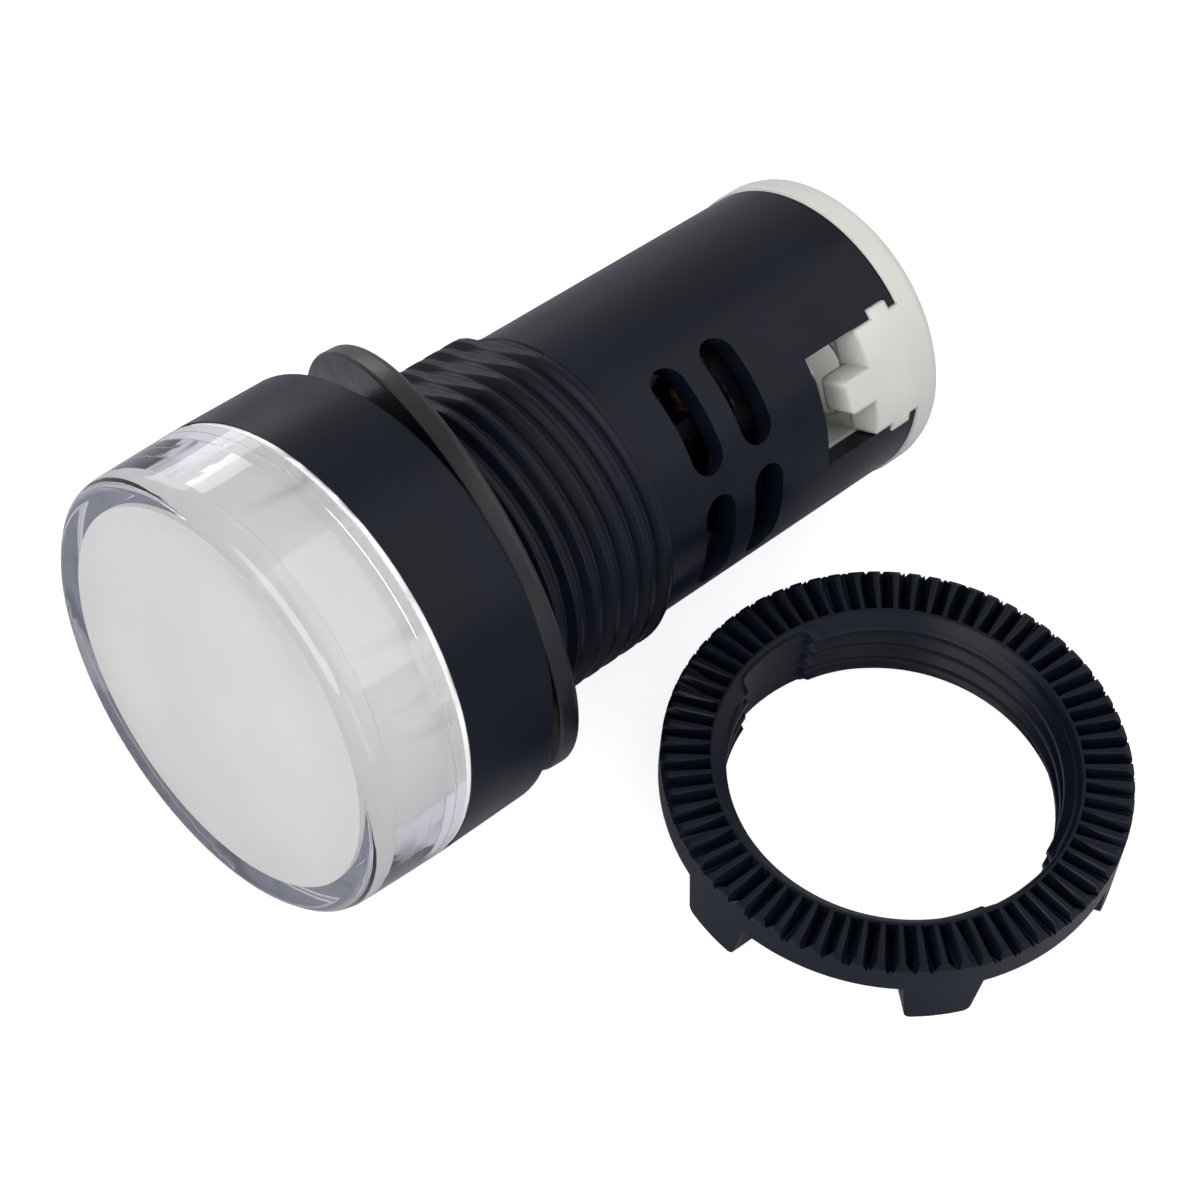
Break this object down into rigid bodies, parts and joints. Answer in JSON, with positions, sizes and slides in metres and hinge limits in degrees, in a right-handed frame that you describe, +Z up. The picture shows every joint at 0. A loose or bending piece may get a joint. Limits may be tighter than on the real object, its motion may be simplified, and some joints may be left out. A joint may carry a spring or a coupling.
{
  "type": "panel pilot light",
  "caption": "LED panel pilot light with a clear lens, black threaded housing, rubber gasket and white terminal block with clamp screws, lying beside its ring nut.",
  "frame": {"origin": "on the light's axis, in the panel plane, where the gasket meets the panel", "axes": "+Z up from the surface the light lies on, +Y level and towards the rear of the light, +X to the side where the ring nut lies"},
  "size_m": [0.0545, 0.0546, 0.0304],
  "materials": {
    "black_plastic": "satin moulded",
    "clear_plastic": "clear polished",
    "white_diffuser": "translucent matt",
    "black_rubber": "matt",
    "ivory_plastic": "satin moulded",
    "brass": "stamped",
    "plated_steel": "zinc plated",
    "white_board": "white solder mask",
    "led_package": "satin",
    "black_board": "black solder mask",
    "film_case": "satin",
    "can_sleeve": "shrink sleeve",
    "diode_body": "moulded",
    "resistor_lacquer": "lacquered",
    "tinned_brass": "tinned",
    "wire_insulation": "extruded"
  },
  "bodies": {
    "light": {"housing": "black_plastic", "lens": "clear_plastic", "diffuser": "white_diffuser", "gasket": "black_rubber", "ring_nut": "black_plastic", "terminal_block": "ivory_plastic", "terminal_plate_left": "brass", "terminal_plate_right": "brass", "led_board": "white_board", "leds": "led_package", "driver_board": "black_board", "dropper_capacitor": "film_case", "smoothing_capacitor": "can_sleeve", "rectifier_diodes": "diode_body", "bleed_resistor": "resistor_lacquer", "series_resistor": "resistor_lacquer", "board_pins": "tinned_brass", "lead_wire_left": "wire_insulation", "lead_wire_right": "wire_insulation"},
    "washer_left": {"clamp_washer_left": "plated_steel"},
    "washer_right": {"clamp_washer_right": "plated_steel"},
    "screw_left": {"terminal_screw_left": "plated_steel"},
    "screw_right": {"terminal_screw_right": "plated_steel"}
  },
  "joints": [
    {"name": "lift_left", "type": "slide", "parent": "light", "child": "washer_left", "axis": [0, 0.9929, -0.1191], "range_m": [0, 0.0024]},
    {"name": "turn_left", "type": "hinge", "parent": "washer_left", "child": "screw_left", "pos_m": [-0.00382, 0.02615, -0.00533], "axis": [0, 0.9929, -0.1191], "range_deg": [0, 1728]},
    {"name": "lift_right", "type": "slide", "parent": "light", "child": "washer_right", "axis": [0, 0.9929, -0.1191], "range_m": [0, 0.0024]},
    {"name": "turn_right", "type": "hinge", "parent": "washer_right", "child": "screw_right", "pos_m": [0.00382, 0.02667, -0.001], "axis": [0, 0.9929, -0.1191], "range_deg": [0, 1728]}
  ],
  "couplings": [
    {"joint": "turn_left", "follows": "lift_left", "rad_per_m": 12566},
    {"joint": "turn_right", "follows": "lift_right", "rad_per_m": 12566}
  ]
}
